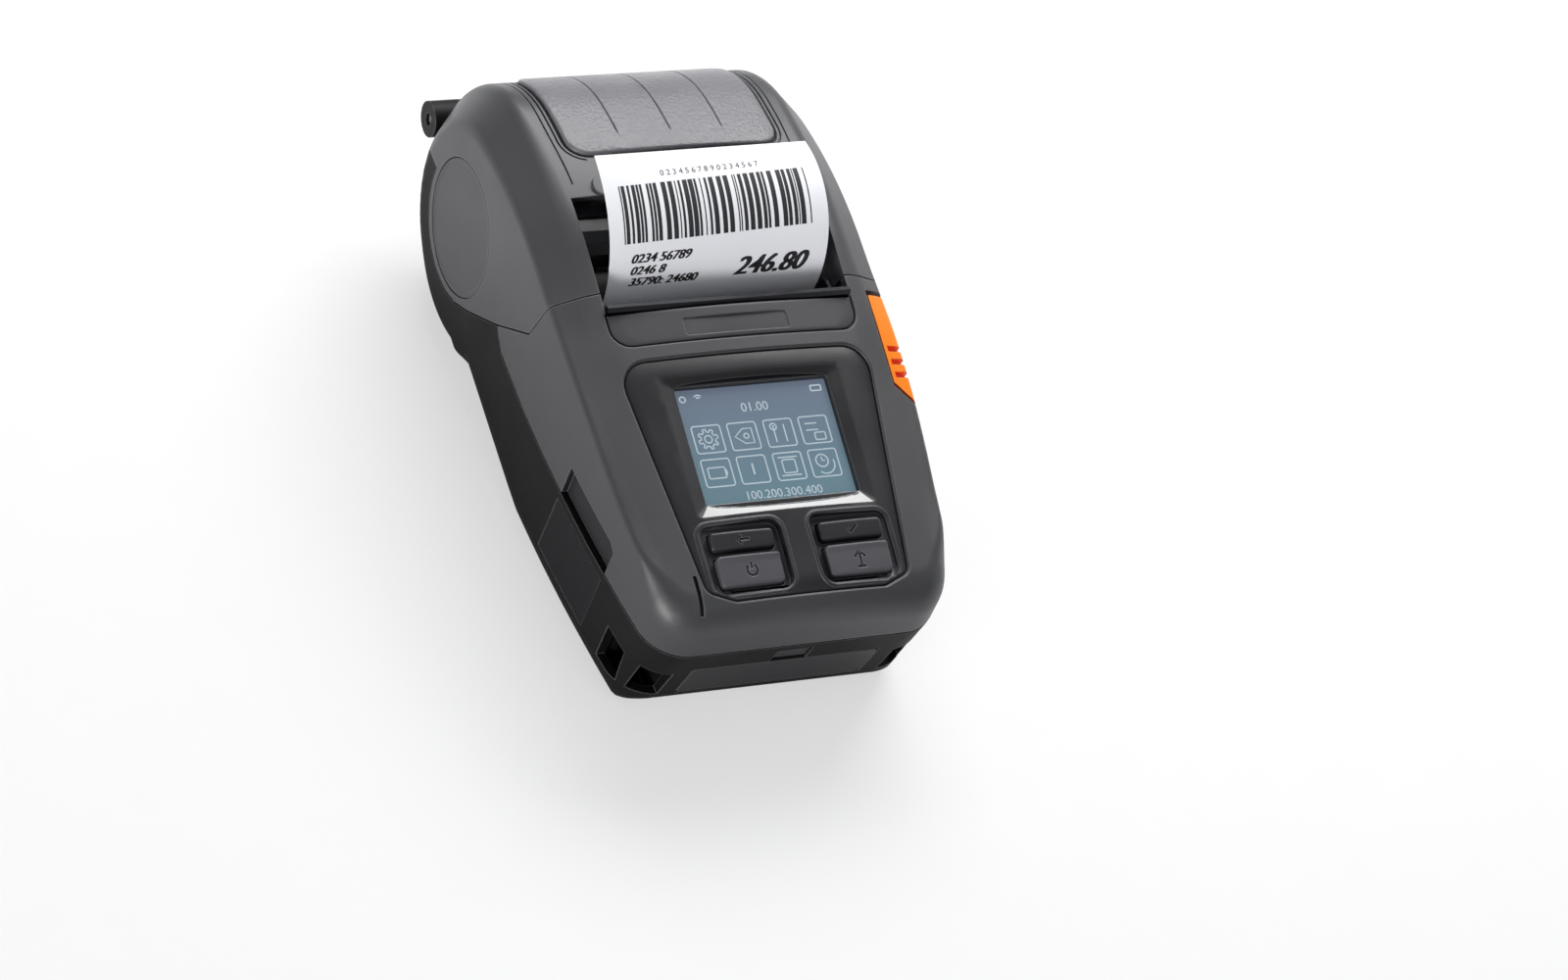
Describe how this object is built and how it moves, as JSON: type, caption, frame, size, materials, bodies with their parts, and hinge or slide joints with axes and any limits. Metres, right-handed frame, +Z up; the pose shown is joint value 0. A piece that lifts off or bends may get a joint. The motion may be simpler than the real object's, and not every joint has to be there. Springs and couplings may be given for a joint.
{
  "type": "portable label printer",
  "caption": "Hand-held battery label printer: round roll cover with window, sloping screen and key panel, side release lever, curled printed label, battery and port flap.",
  "frame": {"origin": "Z = 0 is the rest plane under the flat underside; the origin is in the middle of the width and of the length.", "axes": "+Z up, square to the underside; +Y along the length towards the paper roll and its hinge; +X across the width towards the release lever."},
  "size_m": [0.0826, 0.16, 0.0747],
  "materials": {
    "lower_shell": "fine spark texture",
    "upper_shell": "fine spark texture",
    "cover_shell": "fine spark texture",
    "window": "smoked, polished",
    "disc": "smooth",
    "tag_film": "film with a wound trace",
    "steel_pin": "ground",
    "inner_frame": "moulded",
    "bracket_cap": "moulded",
    "bush": "acetal",
    "roller_rubber": "ground",
    "gear_plastic": "acetal",
    "head_metal": "anodised",
    "bracket_steel": "pressed sheet",
    "tear_steel": "pressed strip",
    "exit_trim": "satin",
    "motor_can": "drawn can",
    "pinion_brass": "cut",
    "paper": "thermal paper",
    "card": "wound card",
    "guide_plastic": "moulded",
    "panel": "satin",
    "lens": "polished",
    "display": "display glass and frame",
    "key_sheet": "silicone",
    "key_dark": "satin",
    "key_light": "satin",
    "lever": "satin orange",
    "board": "solder mask",
    "shield": "tinned can",
    "socket_shell": "plated",
    "jack_body": "moulded",
    "flap_rubber": "moulded",
    "pack": "spark texture",
    "contact": "gold plated",
    "latch_plastic": "moulded",
    "screw": "blackened"
  },
  "bodies": {
    "base": {"lower_housing": "lower_shell", "upper_housing": "upper_shell", "hinge_pin": "steel_pin", "chassis": "inner_frame", "print_head": "head_metal", "head_bracket": "bracket_steel", "head_screws": "screw", "tear_bar": "tear_steel", "exit_plate": "exit_trim", "feed_motor": "motor_can", "idler_pin": "steel_pin", "paper_web": "paper", "screen_panel": "panel", "screen_lens": "lens", "lcd_module": "display", "keypad": "key_sheet", "main_board": "board", "radio_module": "shield", "port_board": "board", "usb_socket": "socket_shell", "power_jack": "jack_body", "battery_contacts": "contact", "housing_screws": "screw"},
    "cover": {"roll_cover": "cover_shell", "cover_window": "window", "side_discs": "disc", "radio_tag": "tag_film", "platen_bracket": "bracket_cap", "platen_bushes": "bush", "bracket_screws": "screw", "printed_label": "paper"},
    "platen": {"platen_shaft": "steel_pin", "platen_rubber": "roller_rubber", "platen_gear": "gear_plastic"},
    "idler": {"idler_gear": "gear_plastic"},
    "pinion": {"motor_pinion": "pinion_brass"},
    "roll": {"paper_roll": "paper", "roll_core": "card"},
    "left_guide": {"guide_left": "guide_plastic"},
    "right_guide": {"guide_right": "guide_plastic"},
    "guide_wheel": {"guide_pinion": "gear_plastic"},
    "latch": {"release_lever": "lever", "latch_shaft": "steel_pin", "latch_hooks": "bracket_steel"},
    "back_button": {"key_back": "key_dark"},
    "power_button": {"key_power": "key_light"},
    "ok_button": {"key_ok": "key_dark"},
    "feed_button": {"key_feed": "key_light"},
    "flap": {"port_flap": "flap_rubber"},
    "battery": {"battery_pack": "pack"},
    "battery_catch": {"battery_latch": "latch_plastic"}
  },
  "joints": [
    {"name": "cover_hinge", "type": "hinge", "parent": "base", "child": "cover", "pos_m": [0, 0.0757, 0.033], "axis": [-1, 0, 0], "range_deg": [0, 90]},
    {"name": "platen_spin", "type": "hinge", "parent": "cover", "child": "platen", "pos_m": [0, 0.0064, 0.04827], "axis": [1, 0, 0], "continuous": true},
    {"name": "idler_spin", "type": "hinge", "parent": "base", "child": "idler", "pos_m": [0, 0.00391, 0.03698], "axis": [1, 0, 0], "continuous": true},
    {"name": "motor_spin", "type": "hinge", "parent": "base", "child": "pinion", "pos_m": [0, 0.00164, 0.02412], "axis": [1, 0, 0], "continuous": true},
    {"name": "roll_spin", "type": "hinge", "parent": "base", "child": "roll", "pos_m": [0, 0.0422, 0.0325], "axis": [1, 0, 0], "continuous": true},
    {"name": "latch_swing", "type": "hinge", "parent": "base", "child": "latch", "pos_m": [0, -0.01171, 0.05015], "axis": [1, 0, 0], "range_deg": [0, 7], "stiffness_Nm_per_rad": 0.4, "springref_deg": -3.44},
    {"name": "right_guide_slide", "type": "slide", "parent": "base", "child": "right_guide", "axis": [1, 0, 0], "range_m": [0, 0.0022], "stiffness_N_per_m": 150, "springref_m": -0.004},
    {"name": "left_guide_slide", "type": "slide", "parent": "base", "child": "left_guide", "axis": [-1, 0, 0], "range_m": [0, 0.0022]},
    {"name": "guide_wheel_spin", "type": "hinge", "parent": "base", "child": "guide_wheel", "pos_m": [0, 0.0117, 0.0105], "axis": [0, 0, 1], "range_deg": [0, 43]},
    {"name": "back_key_press", "type": "slide", "parent": "base", "child": "back_button", "axis": [0, 0.2588, -0.9659], "range_m": [0, 0.0007], "stiffness_N_per_m": 500, "springref_m": -0.0006},
    {"name": "power_key_press", "type": "slide", "parent": "base", "child": "power_button", "axis": [0, 0.2588, -0.9659], "range_m": [0, 0.0007], "stiffness_N_per_m": 500, "springref_m": -0.0006},
    {"name": "ok_key_press", "type": "slide", "parent": "base", "child": "ok_button", "axis": [0, 0.2588, -0.9659], "range_m": [0, 0.0007], "stiffness_N_per_m": 500, "springref_m": -0.0006},
    {"name": "feed_key_press", "type": "slide", "parent": "base", "child": "feed_button", "axis": [0, 0.2588, -0.9659], "range_m": [0, 0.0007], "stiffness_N_per_m": 500, "springref_m": -0.0006},
    {"name": "flap_fold", "type": "hinge", "parent": "base", "child": "flap", "pos_m": [-0.04068, -0.0312, 0.00775], "axis": [0.079, -0.9969, 0], "range_deg": [0, 100]},
    {"name": "battery_slide", "type": "slide", "parent": "base", "child": "battery", "axis": [0, -1, 0], "range_m": [0, 0.06]},
    {"name": "battery_catch_slide", "type": "slide", "parent": "base", "child": "battery_catch", "axis": [0, 0, 1], "range_m": [0, 0.001], "stiffness_N_per_m": 400, "springref_m": -0.001}
  ],
  "couplings": [
    {"joint": "platen_spin", "follows": "idler_spin", "ratio": -0.91667},
    {"joint": "motor_spin", "follows": "idler_spin", "ratio": -2.7143},
    {"joint": "left_guide_slide", "follows": "right_guide_slide", "ratio": 1},
    {"joint": "guide_wheel_spin", "follows": "right_guide_slide", "rad_per_m": 333.33}
  ]
}
